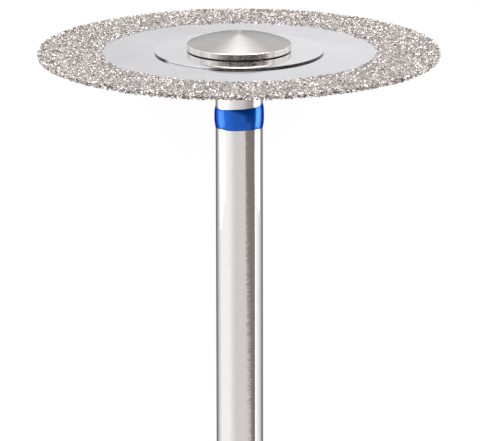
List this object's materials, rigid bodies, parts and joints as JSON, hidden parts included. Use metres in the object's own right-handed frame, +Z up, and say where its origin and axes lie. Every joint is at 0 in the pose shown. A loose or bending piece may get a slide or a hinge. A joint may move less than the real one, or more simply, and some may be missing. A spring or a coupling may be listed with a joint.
{
  "type": "dental diamond disc",
  "caption": "Thin double-sided diamond cutting disc clamped between washers on a straight handpiece mandrel, with a domed cap and a coloured grit ring.",
  "frame": {"origin": "on the surface the disc lies on, under the middle of its bounding box", "axes": "+Z up; the mandrel's axis lies in the YZ plane and rises 11.6 degrees towards +Y, the end with the disc; X across the disc"},
  "size_m": [0.02, 0.045, 0.0196],
  "materials": {
    "mandrel_steel": "ground and polished",
    "washer_steel": "polished",
    "blank_steel": "polished",
    "diamond_grit": "diamond grains bonded in nickel",
    "cap_steel": "satin",
    "blue_lacquer": "gloss"
  },
  "bodies": {
    "root": {"mandrel": "mandrel_steel", "lower_washer": "washer_steel", "disc_blank": "blank_steel", "diamond_coating": "diamond_grit", "upper_washer": "washer_steel", "domed_cap": "cap_steel", "colour_ring": "blue_lacquer"}
  },
  "joints": []
}
